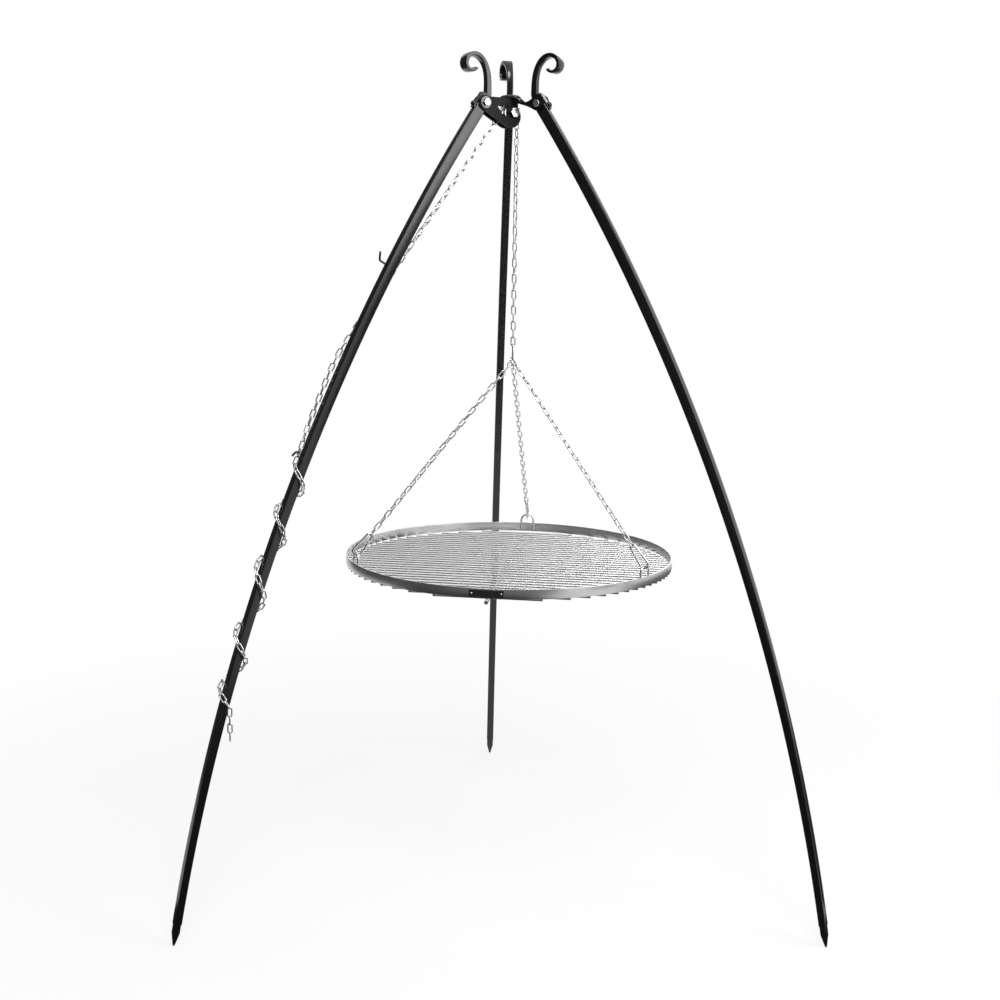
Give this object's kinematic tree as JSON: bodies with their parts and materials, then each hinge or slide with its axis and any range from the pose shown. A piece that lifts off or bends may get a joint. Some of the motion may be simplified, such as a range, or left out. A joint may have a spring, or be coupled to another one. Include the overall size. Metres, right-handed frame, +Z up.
{
  "type": "tripod grill",
  "caption": "Campfire tripod with bowed, hinged legs and scrolled tops; a chain runs over a roller in the hub and holds a round grill grate on smaller chains with snap hooks.",
  "frame": {"origin": "middle of the bounding box on the ground, between the feet", "axes": "+Z up; +X to the right and -Y towards a viewer facing the leg pair that carries the left-hand chain; the single leg stands at +Y"},
  "size_m": [1.3044, 1.1306, 1.7517],
  "materials": {
    "black_powder_coat": "satin black powder coat",
    "bright_zinc": "bright zinc plate",
    "stainless_steel": "brushed stainless steel"
  },
  "bodies": {
    "hub": {"hub_front_cheek": "black_powder_coat", "hub_rear_cheek": "black_powder_coat", "right_fork_strap_a": "black_powder_coat", "right_fork_strap_b": "black_powder_coat", "back_fork_strap_a": "black_powder_coat", "back_fork_strap_b": "black_powder_coat", "hub_core": "black_powder_coat", "axle_bolt": "bright_zinc", "axle_nut": "bright_zinc", "roller_chain": "bright_zinc", "left_pivot_washer": "bright_zinc", "left_pivot_bolt": "bright_zinc", "left_pivot_nut": "bright_zinc", "right_pivot_bolt": "bright_zinc", "right_pivot_nut": "bright_zinc", "back_pivot_bolt": "bright_zinc", "back_pivot_nut": "bright_zinc"},
    "roller": {"chain_roller": "bright_zinc"},
    "left_leg": {"left_leg": "black_powder_coat", "left_spike": "black_powder_coat", "left_scroll": "black_powder_coat", "left_cap_plate": "black_powder_coat", "left_cap_screw": "black_powder_coat", "leg_chain": "bright_zinc", "wrap_chain": "bright_zinc", "upper_chain_hook": "black_powder_coat", "lower_chain_hook": "black_powder_coat"},
    "right_leg": {"right_leg": "black_powder_coat", "right_spike": "black_powder_coat", "right_scroll": "black_powder_coat", "right_cap_plate": "black_powder_coat", "right_cap_screw": "black_powder_coat"},
    "back_leg": {"back_leg": "black_powder_coat", "back_spike": "black_powder_coat", "back_scroll": "black_powder_coat", "back_cap_plate": "black_powder_coat", "back_cap_screw": "black_powder_coat"},
    "link_1": {"top_link_1": "bright_zinc"},
    "link_2": {"top_link_2": "bright_zinc"},
    "hanging_chain": {"lift_chain": "bright_zinc"},
    "grate": {"centre_snap_hook": "bright_zinc", "grate_rim": "stainless_steel", "grate_rods": "stainless_steel", "nameplate": "stainless_steel", "nameplate_rivet_left": "bright_zinc", "nameplate_rivet_right": "bright_zinc", "back_grate_chain": "bright_zinc", "back_snap_hook": "bright_zinc", "back_bail": "stainless_steel", "left_grate_chain": "bright_zinc", "left_snap_hook": "bright_zinc", "left_bail": "stainless_steel", "right_grate_chain": "bright_zinc", "right_snap_hook": "bright_zinc", "right_bail": "stainless_steel"},
    "centre_gate": {"centre_snap_hook_gate": "bright_zinc"},
    "back_gate": {"back_snap_hook_gate": "bright_zinc"},
    "left_gate": {"left_snap_hook_gate": "bright_zinc"},
    "right_gate": {"right_snap_hook_gate": "bright_zinc"}
  },
  "joints": [
    {"name": "left_leg_fold", "type": "hinge", "parent": "hub", "child": "left_leg", "pos_m": [-0.05802, -0.21831, 1.654], "axis": [-0.5, 0.866, 0], "range_deg": [-8.5, 0]},
    {"name": "right_leg_fold", "type": "hinge", "parent": "hub", "child": "right_leg", "pos_m": [0.05802, -0.21831, 1.654], "axis": [-0.5, -0.866, 0], "range_deg": [-8.5, 0]},
    {"name": "back_leg_fold", "type": "hinge", "parent": "hub", "child": "back_leg", "pos_m": [0, -0.11781, 1.654], "axis": [1, 0, 0], "range_deg": [-8.5, 0]},
    {"name": "roller_spin", "type": "hinge", "parent": "hub", "child": "roller", "pos_m": [0, -0.18481, 1.638], "axis": [0.5, -0.866, 0], "range_deg": [-1600, 560]},
    {"name": "link_1_swing", "type": "hinge", "parent": "hub", "child": "link_1", "pos_m": [0.01429, -0.17656, 1.60434], "axis": [-0.8714, -0.4906, 0], "range_deg": [-5, 5]},
    {"name": "link_2_swing", "type": "hinge", "parent": "link_1", "child": "link_2", "pos_m": [0.01429, -0.17656, 1.58797], "axis": [0.4906, -0.8714, 0], "range_deg": [-5, 5]},
    {"name": "chain_swivel", "type": "hinge", "parent": "link_2", "child": "hanging_chain", "pos_m": [0.01429, -0.17656, 1.4], "axis": [0, 0, 1], "range_deg": [-180, 180]},
    {"name": "grate_lift", "type": "slide", "parent": "hanging_chain", "child": "grate", "axis": [0, 0, 1], "range_m": [-0.45, 0.15], "deforming": ["lift_chain"]},
    {"name": "centre_gate_open", "type": "hinge", "parent": "grate", "child": "centre_gate", "pos_m": [0.01429, -0.16998, 1.15558], "axis": [-1, 0, 0], "range_deg": [0, 22], "stiffness_Nm_per_rad": 0.05, "springref_deg": -11.46},
    {"name": "back_gate_open", "type": "hinge", "parent": "grate", "child": "back_gate", "pos_m": [0.06534, 0.13566, 0.76052], "axis": [0.9866, -0.163, 0.0017], "range_deg": [0, 20], "stiffness_Nm_per_rad": 0.05, "springref_deg": -11.46},
    {"name": "left_gate_open", "type": "hinge", "parent": "grate", "child": "left_gate", "pos_m": [-0.28134, -0.2883, 0.76011], "axis": [-0.3528, 0.9357, 0.0008], "range_deg": [0, 20], "stiffness_Nm_per_rad": 0.05, "springref_deg": -11.46},
    {"name": "right_gate_open", "type": "hinge", "parent": "grate", "child": "right_gate", "pos_m": [0.25881, -0.3771, 0.76036], "axis": [-0.6287, -0.7776, -0.007], "range_deg": [0, 20], "stiffness_Nm_per_rad": 0.05, "springref_deg": -11.46}
  ],
  "couplings": [
    {"joint": "roller_spin", "follows": "grate_lift", "rad_per_m": 60.606}
  ]
}
